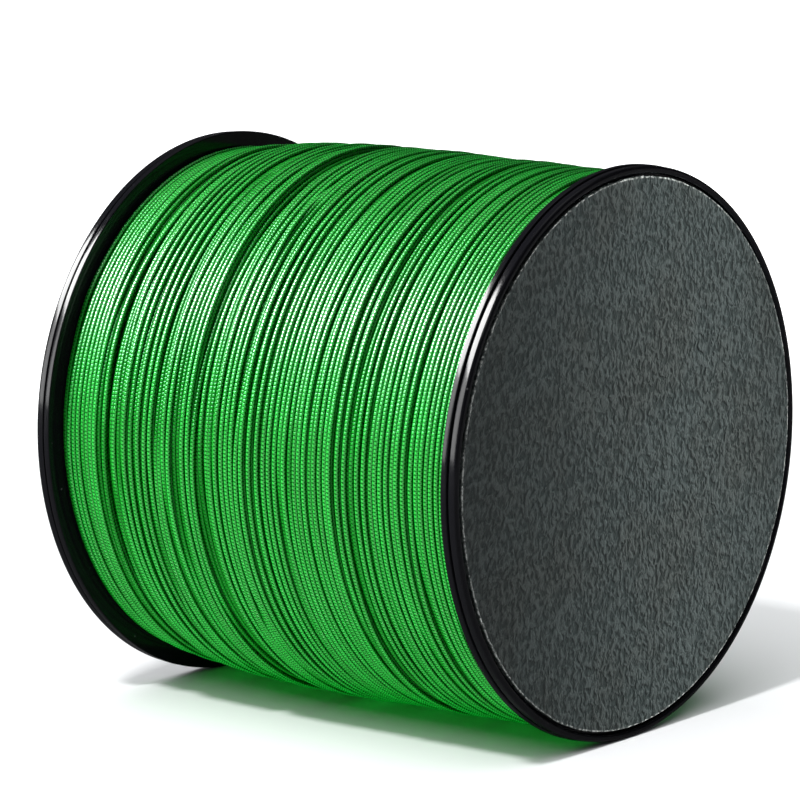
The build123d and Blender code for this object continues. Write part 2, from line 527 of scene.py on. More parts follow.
def make_line_material(settings, braid):
    """Bright green braid: strands from the braid group with painted shade between them, painted shade on the
    turns' flanks and on turns deep in the winding, each turn a little different.
    """
    material, tree = new_material("Green braided line")
    uv = add_node(tree, "ShaderNodeUVMap", uv_map="Line").outputs[0]
    metres, around, _ = separate(tree, uv)
    along = calc(tree, "DIVIDE", metres, settings.strand_pitch)
    strands = use_group(tree, braid, {"Along": along, "Around": around})
    tint = noise(tree, stretch(tree, uv, TINT_RUNS), 1.0, 3.0, 0.6)
    crest = times(tree, strands["Crest"], remap(tree, strands["Fibre"], 0.25, 0.7, 0.6, 1.0))
    # Painted shade between the strands, with the light green on their crests.
    color = mix_color(tree, crest, settings.gap_shade_color, settings.light_color)
    varied = mix_color(tree, remap(tree, tint, 0.35, 0.65, 0.0, 0.6), color, DULL_GREEN, "MULTIPLY")
    side = calc(tree, "ABSOLUTE", calc(tree, "SUBTRACT", around, 0.5))
    # Painted shade: a turn is darkened by how deep it lies below its neighbours, and by how far round towards
    # its flanks a point lies.
    sunk = add_node(tree, "ShaderNodeAttribute", attribute_name="depth").outputs["Fac"]
    flank = remap(tree, side, 0.1, 0.27)
    # Painted shade: the greater of the flank darkening and the deep-turn darkening, multiplied into the
    # colour below.
    painted_shade = calc(tree, "MAXIMUM", times(tree, flank, FLANK_SHADE),
                  remap(tree, sunk, 0.1, 0.75, 0.0, DEEP_SHADE))
    normal = bump(tree, strands["Height"], STRAND_RELIEF)
    dull = remap(tree, strands["Fibre"], 0.3, 0.7, 0.17, 0.26)
    finish_material(tree, {
        "Base Color": mix_color(tree, painted_shade, varied, VALLEY_SHADE_GREEN, "MULTIPLY"),
        "Roughness": plus(tree, times(tree, painted_shade, 0.1), dull),
        "Normal": bump(tree, strands["Fibre"], FIBRE_RELIEF, 0.5, normal),
        "Specular IOR Level": 0.7, "Specular Tint": SHEEN_GREEN,
        "Coat Weight": times(tree, strands["Crest"], calc(tree, "SUBTRACT", 1.0, painted_shade)),
        "Coat Roughness": 0.29, "Coat IOR": 2.5})
    return material


def make_buried_line_material(settings, braid, name, shade):
    """The same braid on a plain ring of buried turns: the turns are drawn by their place along the axis, with
    painted shade between them, and the green darkened by the shade share as painted shade.
    """
    material, tree = new_material(name)
    x, y, z = separate(tree, object_place(tree))
    turn = calc(tree, "DIVIDE", x, settings.width)
    angle = calc(tree, "ARCTAN2", z, y)
    along = times(tree, angle, (DRUM_RADIUS + FLANGE_RADIUS) / 2 / settings.strand_pitch)
    strands = use_group(tree, braid, {"Along": along, "Around": turn})
    round_turn = calc(tree, "ABSOLUTE", calc(tree, "SINE", times(tree, turn, math.pi)))
    height = plus(tree, round_turn, times(tree, strands["Height"], BURIED_STRAND_SHARE))
    # Painted shade: the crest green darkened by the shade share of this buried ring.
    light = tuple(channel * shade for channel in settings.light_color)
    finish_material(tree, {
        # Painted shade between the drawn turns, where round_turn falls towards zero.
        "Base Color": mix_color(tree, times(tree, strands["Crest"], round_turn), settings.gap_shade_color, light),
        "Roughness": remap(tree, strands["Fibre"], 0.3, 0.7, 0.4, 0.6),
        "Normal": bump(tree, height, TURN_RELIEF), "Specular IOR Level": 0.2})
    return material


def make_gloss_material(settings, wear):
    """Polished black moulding, with specks of dust and faint rubs."""
    material, tree = new_material("Gloss black moulding")
    marks = use_group(tree, wear, {"Place": object_place(tree), "Rub": 0.8, "Dust": 0.5})
    finish_material(tree, {
        "Base Color": mix_color(tree, marks["Dust mask"], settings.color, GLOSS_DUST),
        "Roughness": plus(tree, marks["Roughness"], GLOSS_ROUGHNESS),
        "Normal": bump(tree, marks["Height"], GLOSS_RELIEF),
        "Specular IOR Level": 0.15, "Coat Weight": 0.05, "Coat Roughness": 0.08})
    return material


def make_inner_material(settings, wear):
    """Plain black moulding of the drum and arbor tube, left as it came from the mould."""
    material, tree = new_material("Satin black moulding")
    place = object_place(tree)
    marks = use_group(tree, wear, {"Place": place, "Rub": 1.2, "Dust": 1.0})
    draw_lines = noise(tree, stretch(tree, place, DRAW_SCALE), 1.0, 2.0)
    finish_material(tree, {
        "Base Color": mix_color(tree, marks["Dust mask"], settings.inner_color, INNER_DUST),
        "Roughness": plus(tree, marks["Roughness"], INNER_ROUGHNESS),
        "Normal": bump(tree, draw_lines, DRAW_RELIEF, 0.5, bump(tree, marks["Height"], INNER_RELIEF))})
    return material


def make_facing_material(settings):
    """Leather look: soft ridges with painted shade in the creases, fine pores, and pale fibres along the cut
    edge.
    """
    material, tree = new_material("Grey green leather look")
    place = object_place(tree)
    swell = leather_swell(tree, place, settings.grain_size)
    pores = noise(tree, place, PORES_PER_GRAIN / settings.grain_size, 3.0, 0.65)
    blotch = noise(tree, place, BLOTCH_SCALE, 3.0, 0.6)
    # Painted shade in the creases of the grain, the plain colour on the ridges.
    base = mix_color(tree, remap(tree, swell, 0.1, 0.8), settings.crease_shade_color, settings.color)
    warm = mix_color(tree, remap(tree, blotch, 0.4, 0.65, 0.0, 0.4), base, BLOTCH_TINT, "MULTIPLY")
    x, y, z = separate(tree, place)
    radius = calc(tree, "SQRT", plus(tree, calc(tree, "POWER", y, 2.0), calc(tree, "POWER", z, 2.0)))
    rim = remap(tree, radius, *(FACING_RADIUS - reach for reach in CUT_EDGE_SIDE))
    top = remap(tree, calc(tree, "ABSOLUTE", x), *(FACE_X - reach for reach in CUT_EDGE_TOP))
    fibres = remap(tree, noise(tree, place, CUT_FIBRE_SCALE, 3.0, 0.7), 0.42, 0.6)
    edge = times(tree, times(tree, rim, top), fibres)
    finish_material(tree, {
        "Base Color": mix_color(tree, edge, warm, settings.edge_color),
        "Roughness": remap(tree, pores, 0.3, 0.7, 0.6, 0.46),
        "Normal": bump(tree, pores, PORE_RELIEF, 0.7, bump(tree, swell, GRAIN_RELIEF)),
        "Specular IOR Level": 0.35})
    return material


def make_adhesive_material():
    """Cloudy double-sided film."""
    material, tree = new_material("Adhesive film")
    cloud = noise(tree, object_place(tree), CLOUD_SCALE, 4.0, 0.6)
    finish_material(tree, {
        "Base Color": mix_color(tree, cloud, FILM_THIN, FILM_THICK),
        "Roughness": remap(tree, cloud, 0.3, 0.7, 0.25, 0.5), "Normal": bump(tree, cloud, CLOUD_RELIEF)})
    return material


def make_tape_material():
    """Cream crepe tape with its ribs across the strip."""
    material, tree = new_material("Crepe tape")
    crepe = noise(tree, stretch(tree, object_place(tree), CREPE_SCALE), 1.0, 4.0, 0.65)
    finish_material(tree, {
        "Base Color": mix_color(tree, crepe, CREPE_LOW, CREPE_HIGH),
        "Roughness": remap(tree, crepe, 0.3, 0.7, 0.6, 0.8), "Normal": bump(tree, crepe, CREPE_RELIEF)})
    return material


def make_floor_material(settings):
    """Plain pale floor with a faint unevenness, brighter away from the spool and dimmer in reflections."""
    material, tree = new_material("Pale floor")
    place = object_place(tree)
    tone = noise(tree, place, 3.0, 2.0)
    color = mix_color(tree, remap(tree, tone, 0.3, 0.7, 0.0, 0.02), settings.floor_color, FLOOR_WORN)
    seen = calc(tree, "SUBTRACT", 1.0, add_node(tree, "ShaderNodeLightPath").outputs["Is Glossy Ray"])
    share = plus(tree, FLOOR_REFLECTED, times(tree, seen, 1.0 - FLOOR_REFLECTED))
    far = vector_calc(tree, "LENGTH", {0: place}, "Value")
    glow = remap(tree, far, FLOOR_GLOW_START, FLOOR_GLOW_END, 0.0, settings.floor_glow)
    finish_material(tree, {
        "Base Color": mix_color(tree, share, (0.0, 0.0, 0.0), color), "Roughness": 0.75,
        "Specular IOR Level": 0.2, "Emission Color": (1.0, 1.0, 1.0, 1.0),
        "Emission Strength": times(tree, glow, share)})
    return material


# ---------------------------------------------------------------- mesh helpers


def put_in_scene(name, data):
    """An object at the origin that shows a mesh, a lamp or a camera."""
    item = bpy.data.objects.new(name, data)
    bpy.context.scene.collection.objects.link(item)
    return item


def place_piece(mesh, name, body, slot, material, *replaced):
    """Puts a finished mesh in the scene as a piece that rides on a body."""
    piece = put_in_scene(name, mesh)
    mesh.name = name
    mesh.materials.clear()
    mesh.materials.append(material)
    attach(piece, body)
    if replaced:
        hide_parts(*replaced)
    return piece


def evaluated_mesh(item, name):
    """The plain mesh that an object's modifiers make; the object goes."""
    depsgraph = bpy.context.evaluated_depsgraph_get()
    mesh = bpy.data.meshes.new_from_object(item.evaluated_get(depsgraph))
    mesh.name = name
    source = item.data
    bpy.data.objects.remove(item)
    bpy.data.meshes.remove(source)
    return mesh


def finished_mesh(made, name):
    """A mesh from a bmesh, with its faces outward."""
    bmesh.ops.recalc_face_normals(made, faces=made.faces)
    mesh = bpy.data.meshes.new(name)
    made.to_mesh(mesh)
    made.free()
    return mesh


def smooth_by_angle(mesh, degrees=MOULDING_CREASE):
    """Smooth faces with sharp edges where the surface turns by more than an angle."""
    mesh.polygons.foreach_set("use_smooth", np.ones(len(mesh.polygons), dtype=bool))
    mesh.set_sharp_from_angle(angle=math.radians(degrees))
    mesh.update()


def arc(centre_x, centre_r, radius, start, end, count=8):
    """Points of an arc in the (x, radius) half plane, angles in degrees from +x towards +radius."""
    angles = [math.radians(start + (end - start) * i / count) for i in range(count + 1)]
    return [(centre_x + radius * math.cos(a), centre_r + radius * math.sin(a)) for a in angles]


def turned(name, profile, segments):
    """A closed solid turned about the axis from (x, radius) points; ends on the axis close as poles."""
    mesh = bmesh.new()
    rings = []
    for x, radius in profile:
        if radius == 0:
            rings.append([mesh.verts.new((x, 0, 0))])
            continue
        angles = [2 * math.pi * i / segments for i in range(segments)]
        rings.append([mesh.verts.new((x, radius * math.cos(a), radius * math.sin(a))) for a in angles])
    pairs = list(zip(rings, rings[1:]))
    if len(rings[0]) > 1:
        pairs.append((rings[-1], rings[0]))
    for first, second in pairs:
        for i in range(segments):
            j = (i + 1) % segments
            corners = [first[i % len(first)], second[i % len(second)],
                       second[j % len(second)], first[j % len(first)]]
            corners = list(dict.fromkeys(corners))
            if len(corners) > 2:
                mesh.faces.new(corners)
    return finished_mesh(mesh, name)


def post(start_x, end_x, radius, lead_in, angle, segments=32):
    """A round post along the axis on the peg circle, with an optional chamfer at its start."""
    profile = [(start_x, 0.0), (start_x, radius - lead_in)]
    if lead_in > 0:
        profile.append((start_x + math.copysign(lead_in, end_x - start_x), radius))
    profile += [(end_x, radius), (end_x, 0.0)]
    made = turned("post", profile, segments)
    move = (0, PEG_CIRCLE_RADIUS * math.cos(angle), PEG_CIRCLE_RADIUS * math.sin(angle))
    made.transform(Matrix.Translation(move))
    return made


def joined(meshes):
    """Several meshes as one; the single ones go."""
    made = bmesh.new()
    for mesh in meshes:
        made.from_mesh(mesh)
        bpy.data.meshes.remove(mesh)
    return finished_mesh(made, "joined")


def combined(base, tool, operation):
    """base with tool added to it or cut from it; both go."""
    base_object, tool_object = put_in_scene("base", base), put_in_scene("tool", tool)
    cut = base_object.modifiers.new("cut", "BOOLEAN")
    cut.operation = operation
    cut.solver = "EXACT"
    cut.object = tool_object
    result = evaluated_mesh(base_object, "combined")
    bpy.data.objects.remove(tool_object)
    bpy.data.meshes.remove(tool)
    return result


def facing_out(profile, end):
    """A front end profile as it is, or mirrored for the rear end."""
    return [(end * x, radius) for x, radius in profile]


def flange_mesh(end, segments):
    """A flange: disc with rounded edges, spigot and hub inside the drum, ribs and peg sockets."""
    edge = EDGE_ROUND
    profile = arc(SEAT_X - edge, FLANGE_RADIUS - edge, edge, 0, 90)
    profile += arc(INNER_X + edge, FLANGE_RADIUS - edge, edge, 90, 180)
    profile += [(INNER_X, SPIGOT_RADIUS), (INNER_X - SPIGOT_DEPTH, SPIGOT_RADIUS),
                (INNER_X - SPIGOT_DEPTH, SPIGOT_RADIUS - WALL), (INNER_X, SPIGOT_RADIUS - WALL),
                (INNER_X, HUB_RADIUS), (INNER_X - HUB_DEPTH, HUB_RADIUS),
                (INNER_X - HUB_DEPTH, ARBOR_RADIUS), (SEAT_X, ARBOR_RADIUS)]
    made = turned("flange", facing_out(profile, end), segments)
    sunk = INNER_X + (SEAT_X - INNER_X) / 2
    bosses = [post(end * (INNER_X - BOSS_DEPTH), end * sunk, BOSS_RADIUS, 0.0, a) for a in PEG_ANGLES]
    ribs = [rib_mesh(end * (INNER_X - RIB_DEPTH), end * sunk, a) for a in RIB_ANGLES]
    made = combined(made, joined(bosses + ribs), "UNION")
    bottom, top = end * (SEAT_X - SOCKET_DEPTH), end * (SEAT_X + SOCKET_OVERCUT)
    sockets = [post(bottom, top, SOCKET_RADIUS, 0.0, a) for a in PEG_ANGLES]
    made = combined(made, joined(sockets), "DIFFERENCE")
    smooth_by_angle(made)
    return made


def rib_mesh(start_x, end_x, angle):
    """One stiffening rib between the hub and the spigot."""
    low, high = sorted((start_x, end_x))
    inner, outer = HUB_RADIUS - WALL / 4, SPIGOT_RADIUS - 3 * WALL / 4
    made = bmesh.new()
    bmesh.ops.create_cube(made, size=1.0)
    size = Matrix.Diagonal((high - low, outer - inner, RIB_THICKNESS, 1.0))
    move = Matrix.Translation(((low + high) / 2, (inner + outer) / 2, 0))
    bmesh.ops.transform(made, matrix=Matrix.Rotation(angle, 4, "X") @ move @ size, verts=made.verts)
    return finished_mesh(made, "rib")


def cover_mesh(end, opening_radius, segments):
    """An end cover: rounded lip, groove against the flange, recess for the facing, and pegs."""
    back_x, back, foot = SEAT_X + GROOVE_WIDTH, LIP_BACK_ROUND, RECESS_ROUND
    profile = [(SEAT_X, opening_radius), (SEAT_X, GROOVE_RADIUS), (back_x, GROOVE_RADIUS)]
    profile += arc(back_x + back, LIP_RADIUS - back, back, 180, 90, 4)
    profile += arc(FACE_X - LIP_ROUND, LIP_RADIUS - LIP_ROUND, LIP_ROUND, 90, 0, 12)
    profile += arc(FACE_X - LIP_ROUND, LIP_INNER_RADIUS + LIP_ROUND, LIP_ROUND, 0, -90, 12)
    profile += arc(RECESS_X + foot, LIP_INNER_RADIUS - foot, foot, 90, 180, 4)
    profile += [(RECESS_X, opening_radius)]
    made = turned("cover", facing_out(profile, end), segments)
    sunk = (SEAT_X + RECESS_X) / 2
    pegs = [post(end * (SEAT_X - PEG_LENGTH), end * sunk, PEG_RADIUS, PEG_LEAD_IN, a) for a in PEG_ANGLES]
    made = combined(made, joined(pegs), "UNION")
    smooth_by_angle(made)
    return made


# ---------------------------------------------------------------- the wound line


def crown_radii(places):
    """The winding's outer radius at places along the axis, read from the CAD model's outer layer."""
    mesh = frame["nodes"]["line_outer"].data
    points = np.empty(len(mesh.vertices) * 3)
    mesh.vertices.foreach_get("co", points)
    points = points.reshape(-1, 3)
    radius = np.hypot(points[:, 1], points[:, 2])
    edges = np.linspace(-INNER_X, INNER_X, CROWN_BANDS + 1)
    band = np.clip(np.digitize(points[:, 0], edges) - 1, 0, CROWN_BANDS - 1)
    tops = np.array([radius[band == i].max() if np.any(band == i) else np.nan for i in range(CROWN_BANDS)])
    centres = (edges[1:] + edges[:-1]) / 2
    known = ~np.isnan(tops)
    return np.interp(places, centres[known], tops[known])


def smooth_noise(rng, count, reach):
    """Seeded noise of about unit size that changes over `reach` samples."""
    knots = rng.normal(size=count // reach + 4)
    at = np.arange(count) / reach + 1
    low = at.astype(int)
    share = at - low
    eased = share * share * (3 - 2 * share)
    return knots[low] * (1 - eased) + knots[low + 1] * eased


class Winding:
    """Winds the line turn by turn on a height field: each turn lies in the lowest place near its guide."""

    def __init__(self, settings):
        self.settings = settings
        self.steps = settings.steps
        self.rng = np.random.default_rng(settings.seed)
        self.places = np.arange(-INNER_X, INNER_X + CELL / 2, CELL)
        self.crown = crown_radii(self.places)
        self.half_width = settings.width / 2
        self.half_height = settings.height / 2
        self.reach = int(round(self.half_width / CELL))
        self.across = np.arange(-self.reach, self.reach + 1)
        shape = np.clip(1 - np.abs(self.across * CELL / self.half_width) ** LINE_SQUARENESS, 0, 1)
        self.section = self.half_height * shape ** (1 / LINE_SQUARENESS)
        start = self.crown - (settings.layers + 1) * LAYER_RISE * settings.height
        self.surface = np.tile(start, (self.steps, 1))
        self.offsets = np.arange(-OFFSET_COUNT, OFFSET_COUNT + 1) * OFFSET_CELLS
        self.limit = INNER_X - self.half_width - CELL
        self.last_offset = 0
        self.turns = []

    def column(self, place, margin=0):
        """The grid columns of places along the axis, at least a margin from the ends."""
        column = np.round((place + INNER_X) / CELL).astype(int)
        return np.clip(column, margin, len(self.places) - 1 - margin)

    def guide(self, start, direction, layer):
        """One turn's guide and where the next one's begins. It hurries where the line is high."""
        step = self.settings.close_step * (1 + STEP_SPREAD * self.rng.normal())
        if self.rng.random() < self.settings.open_share:
            step += self.settings.open_step * (LEAST_GAP + (1 - LEAST_GAP) * self.rng.random())
        rise = LAYER_RISE * self.settings.height
        ahead = np.abs(self.places - start - direction * EVEN_REACH / 2) < EVEN_REACH
        high = (self.surface[:, ahead] - self.crown[ahead]).mean()
        high += (self.settings.layers + 1 - layer) * rise
        step *= np.clip(1 + EVENING * high / self.settings.height, *STEP_LIMITS)
        end = start + direction * step
        share = np.arange(self.steps) / self.steps
        return start + (end - start) * share, end

    def lay_turn(self, guide, wander, shown):
        """Lays one turn and raises the surface under it."""
        guide = np.clip(guide + wander, -self.limit, self.limit)
        rows = np.arange(self.steps)[:, None, None]
        middle = np.round((guide[:, None] + INNER_X) / CELL).astype(int) + self.offsets[None, :]
        middle = np.clip(middle, self.reach, len(self.places) - 1 - self.reach)
        under = self.surface[rows, middle[:, :, None] + self.across[None, None, :]]
        radius = (under + self.section[None, None, :]).max(axis=2)
        cost = (radius - radius.min()) / self.half_height * LOW_PULL
        cost += (self.offsets[None, :] * CELL / self.half_width) ** 2 * GUIDE_PULL
        pick = self.easiest_route(cost)
        self.last_offset = int(pick[-1]) - len(self.offsets) // 2
        row = np.arange(self.steps)
        place = ease(self.places[middle[row, pick]], EASE_REACH)
        height = ease(raise_to_neighbours(radius[row, pick], EASE_REACH), EASE_REACH)
        height = height - SINK * self.settings.height
        columns = self.column(place, self.reach)[:, None] + self.across[None, :]
        top = height[:, None] + self.section[None, :]
        self.surface[row[:, None], columns] = np.maximum(self.surface[row[:, None], columns], top)
        if shown:
            self.turns.append((place, height))

    def easiest_route(self, cost):
        """The offset at each step that costs least in all, with bends, from where the last turn ended."""
        change = (self.offsets[:, None] - self.offsets[None, :]) * CELL / self.half_width
        bend = change ** 2 * STRAIGHT_PULL
        best = np.full(len(self.offsets), UNREACHED)
        best[self.last_offset + len(self.offsets) // 2] = 0.0
        came_from = np.empty((self.steps, len(self.offsets)), dtype=int)
        for row in range(self.steps):
            total = best[:, None] + bend
            came_from[row] = total.argmin(axis=0)
            best = total.min(axis=0) + cost[row]
        pick = np.empty(self.steps, dtype=int)
        pick[-1] = best.argmin()
        for row in range(self.steps - 1, 0, -1):
            pick[row - 1] = came_from[row][pick[row]]
        return pick

    def wind(self):
        """All layers, one hidden and the rest shown. Returns the line's places, radii and depths."""
        direction = 1
        start = -self.limit
        for layer in range(self.settings.layers + 1):
            drift = smooth_noise(self.rng, WANDER_SAMPLES, DRIFT_SAMPLES)
            sway = smooth_noise(self.rng, WANDER_SAMPLES, SWAY_SAMPLES)
            count = 0
            while abs(start) <= self.limit + 1e-9:
                guide, end = self.guide(start, direction, layer)
                at = slice(count * self.steps, (count + 1) * self.steps)
                wander = drift[at] * DRIFT * MM + sway[at] * SWAY * MM
                self.lay_turn(guide, wander, layer > 0)
                start = end
                count += 1
            start = direction * self.limit
            direction = -direction
        place, height = (ease(np.concatenate(part), EASE_REACH) for part in zip(*self.turns))
        return place, height - self.unevenness(place), self.depth(place, height)

    def depth(self, place, height):
        """How far each point of the line lies below the highest turn beside it, in line heights."""
        reach = int(DEPTH_REACH / CELL)
        highest = self.surface.copy()
        span = 1
        while span < reach:
            highest[:, span:] = np.maximum(highest[:, span:], highest[:, :-span])
            highest[:, :-span] = np.maximum(highest[:, :-span], highest[:, span:])
            span *= 2
        top = highest[np.arange(len(place)) % self.steps, self.column(place)]
        return np.clip((top - height - self.half_height) / self.settings.height, 0.0, 1.0)

    def unevenness(self, place):
        """How far the finished winding stands off its crown over wide patches, at each point of the line."""
        off = self.surface - self.crown[None, :] + CROWN_GAP * self.settings.height
        rows = ease_wide(np.concatenate([off] * 3), PATCH_TURN)[self.steps:2 * self.steps]
        wide = ease_wide(rows.T, PATCH_WIDTH / CELL).T
        spread = wide.mean() + (wide - wide.mean()) * EVENED_SHARE
        return spread[np.arange(len(place)) % self.steps, self.column(place)]


def ease(values, reach):
    """A weighted mean with near neighbours along the line."""
    weights = np.exp(-0.5 * (np.arange(-2 * reach, 2 * reach + 1) / reach) ** 2)
    weights /= weights.sum()
    padded = np.pad(values, 2 * reach, mode="edge")
    return np.convolve(padded, weights, mode="valid")


def ease_wide(rows, reach):
    """Rows blended with their neighbours over a wide reach, the ends held."""
    half = int(3 * reach)
    total = np.cumsum(np.pad(rows, ((half + 1, half), (0, 0)), mode="edge"), axis=0)
    blended = np.zeros_like(rows)
    for width in (0.5, 1.0, 1.5):
        span = max(1, int(width * reach))
        low = half - span
        window = total[low + 2 * span + 1:low + 2 * span + 1 + len(rows)] - total[low:low + len(rows)]
        blended += window / (2 * span + 1) / 3
    return blended


def raise_to_neighbours(values, reach):
    """The highest value among near neighbours, because a tight line bridges short hollows."""
    padded = np.pad(values, reach, mode="edge")
    return np.max([padded[i:i + len(values)] for i in range(2 * reach + 1)], axis=0)


def squared_off(tree, part):
    """One coordinate of a point on a circle of diameter 1, moved out to a rounded square."""
    size = calc(tree, "MULTIPLY", calc(tree, "ABSOLUTE", part), 2.0)
    grown = calc(tree, "MULTIPLY", calc(tree, "POWER", size, 2.0 / LINE_SQUARENESS), 0.5)
    return calc(tree, "MULTIPLY", grown, calc(tree, "SIGN", part))


def finish_shape(tree, shape, material, result):
    """Ends a Geometry Nodes tree: smooth faces, real instances and the material."""
    smooth = add_node(tree, "GeometryNodeSetShadeSmooth", {"Geometry": shape, "Shade Smooth": True})
    real = add_node(tree, "GeometryNodeRealizeInstances", {"Geometry": smooth.outputs[0]}).outputs[0]
    done = add_node(tree, "GeometryNodeSetMaterial", {"Geometry": real, "Material": material}).outputs[0]
    tree.links.new(done, result[0])


def named_value(tree, name, kind):
    """What a mesh carries under a name."""
    return add_node(tree, "GeometryNodeInputNamedAttribute", {"Name": name}, data_type=kind).outputs[0]


def line_sweep_tree(material):
    """Sweeps the line's flattened section along a route, with its height along the route's own normal."""
    points = "Points round the line"
    tree, given, result = new_group(
        "Line sweep", "GeometryNodeTree",
        [("Route", "shape"), ("Line width", "number"), ("Line height", "number"), (points, "whole")],
        [("Line", "shape")])
    normal = named_value(tree, "outward", "FLOAT_VECTOR")
    route = add_node(tree, "GeometryNodeMeshToCurve", {"Mesh": given["Route"]}).outputs[0]
    aimed = add_node(tree, "GeometryNodeSetCurveNormal", {"Curve": route, "Normal": normal}, mode="FREE")
    circle = add_node(tree, "GeometryNodeCurvePrimitiveCircle", {"Resolution": given[points], "Radius": 0.5})
    around = calc(tree, "DIVIDE", add_node(tree, "GeometryNodeInputIndex").outputs[0], given[points])
    named = add_node(tree, "GeometryNodeStoreNamedAttribute",
                     {"Geometry": circle.outputs[0], "Name": "around", "Value": around},
                     data_type="FLOAT", domain="POINT").outputs[0]
    x, y, _ = separate(tree, add_node(tree, "GeometryNodeInputPosition").outputs[0])
    squared = combine(tree, squared_off(tree, x), squared_off(tree, y))
    flattened = add_node(tree, "GeometryNodeSetPosition", {"Geometry": named, "Position": squared}).outputs[0]
    size = combine(tree, given["Line height"], given["Line width"], 1.0)
    section = add_node(tree, "GeometryNodeTransform", {
        "Geometry": flattened, "Rotation": (0.0, 0.0, math.pi), "Scale": size}).outputs[0]
    swept = add_node(tree, "GeometryNodeCurveToMesh",
                     {"Curve": aimed.outputs[0], "Profile Curve": section, "Fill Caps": True}).outputs[0]
    finish_shape(tree, swept, material, result)
    return tree


def set_inputs(modifier, values):
    """Sets a Geometry Nodes modifier's inputs by their sockets' names."""
    for item in modifier.node_group.interface.items_tree:
        if item.item_type == "SOCKET" and item.in_out == "INPUT" and item.name in values:
            modifier[item.identifier] = values[item.name]


def route_mesh(points, outward, along, depth):
    """A chain of edges with what the sweep reads on its points."""
    mesh = bpy.data.meshes.new("route")
    mesh.from_pydata(points.tolist(), [(i, i + 1) for i in range(len(points) - 1)], [])
    mesh.attributes.new("outward", "FLOAT_VECTOR", "POINT").data.foreach_set("vector", outward.ravel())
    for name, values in (("along", along), ("depth", depth)):
        mesh.attributes.new(name, "FLOAT", "POINT").data.foreach_set("value", values)
    return mesh


def read_values(items, name, count, kind):
    """One property of many items as an array."""
    values = np.empty(count, dtype=kind)
    items.foreach_get(name, values)
    return values


def add_line_maps(mesh):
    """The line's own map, in metres along it and turns round it, and a packed map for baking."""
    vertex = read_values(mesh.loops, "vertex_index", len(mesh.loops), int)
    along, around = (read_values(mesh.attributes[name].data, "value", len(mesh.vertices), np.float32)
                     for name in ("along", "around"))
    starts, sizes = (read_values(mesh.polygons, name, len(mesh.polygons), int)
                     for name in ("loop_start", "loop_total"))
    face = np.repeat(np.arange(len(sizes)), sizes)
    u, v = along[vertex].astype(float), around[vertex].astype(float)
    high = np.maximum.reduceat(v, starts)
    wraps = (high - np.minimum.reduceat(v, starts) > WRAP_SPAN) & (sizes == 4)
    v = np.where(wraps[face] & (v < WRAP_START), 1.0, v)
    mesh.uv_layers.new(name="Line").data.foreach_set("uv", np.column_stack([u, v]).ravel())
    mean_turn = 2 * math.pi * FLANGE_RADIUS * MEAN_TURN_SHARE
    turn_length = along.max() / max(1, round(along.max() / mean_turn))
    row = np.floor((np.minimum.reduceat(u, starts) - along.min()) / turn_length + 1e-4)
    inside = (u - along.min() - row[face] * turn_length) / turn_length
    bake_u = BAKE_MARGIN + BAKE_WIDTH * np.clip(inside, 0, BAKE_OVERRUN)
    bake_v = (row[face] + ROW_MARGIN + ROW_HEIGHT * v) / (row.max() + 1)
    mesh.uv_layers.new(name="OFBake").data.foreach_set("uv", np.column_stack([bake_u, bake_v]).ravel())
    for name in ("along", "around", "outward"):
        if name in mesh.attributes:
            mesh.attributes.remove(mesh.attributes[name])


# ---------------------------------------------------------------- facings


def facing_grain_tree(material):
    """Presses the leather grain into a facing: ridges stand up, creases sink."""
    tree, given, result = new_group(
        "Facing grain", "GeometryNodeTree",
        [("Disc", "shape"), ("Grain size", "number"), ("Grain depth", "number")], [("Grained disc", "shape")])
    place = add_node(tree, "GeometryNodeInputPosition").outputs[0]
    swell = leather_swell(tree, place, given["Grain size"])
    lump = noise(tree, place, LUMP_SCALE, 2.0)
    sink = calc(tree, "SUBTRACT", plus(tree, swell, times(tree, lump, LUMP_SHARE)), GRAIN_DATUM)
    depth = times(tree, times(tree, sink, given["Grain depth"]), named_value(tree, "grain", "FLOAT"))
    moved = add_node(tree, "GeometryNodeSetPosition",
                     {"Geometry": given["Disc"], "Offset": combine(tree, depth)}).outputs[0]
    finish_shape(tree, moved, material, result)
    return tree


def leather_swell(tree, place, size):
    """How far each point of the leather stands up, 0 in a crease and 1 on a ridge."""
    scale = calc(tree, "DIVIDE", 1.0, size)
    warp = noise(tree, place, times(tree, scale, 0.5), 2.0, output=1)
    centred = vector_calc(tree, "SUBTRACT", {0: warp, 1: (0.5, 0.5, 0.5)})
    shift = vector_calc(tree, "SCALE", {0: centred, 3: times(tree, size, WARP_REACH)})
    moved = vector_calc(tree, "ADD", {0: place, 1: shift})
    across = stretch(tree, moved, RIDGE_STRETCH)
    ridges = noise(tree, across, times(tree, scale, RIDGES_PER_GRAIN), 1.0, 0.45)
    return remap(tree, ridges, 0.28, 0.72)


def facing_rows(opening_radius, settings):
    """A facing's section: x, radius, share of the cut edge's unevenness and share of the grain."""
    closed = opening_radius == 0
    inner = settings.hub_ring if closed else opening_radius
    rounded = settings.edge_round
    first = inner + (0.0 if closed else rounded)
    radii = np.linspace(first, FACING_RADIUS - rounded, settings.rings)
    rows = [(FACE_X, radius, 0.0, 1.0) for radius in radii]
    for i in range(1, EDGE_STEPS + 1):
        share = i / EDGE_STEPS
        a = math.pi / 2 * i / EDGE_STEPS
        rows.append((FACE_X - rounded * (1 - math.cos(a)), FACING_RADIUS - rounded * (1 - math.sin(a)),
                     share, 1.0 - share))
    rows += [(FACING_X + (FACE_X - FACING_X) * EDGE_MIDDLE, FACING_RADIUS, 1.0, 0.0),
             (FACING_X, FACING_RADIUS, 1.0, 0.0), (FACING_X, inner, 0.0, 0.0)]
    if not closed:
        chamfer = rounded * OPENING_CHAMFER
        rows += [(FACE_X - rounded, inner, 0.0, 0.0), (FACE_X - chamfer, inner + chamfer, 0.0, 0.5)]
    return rows


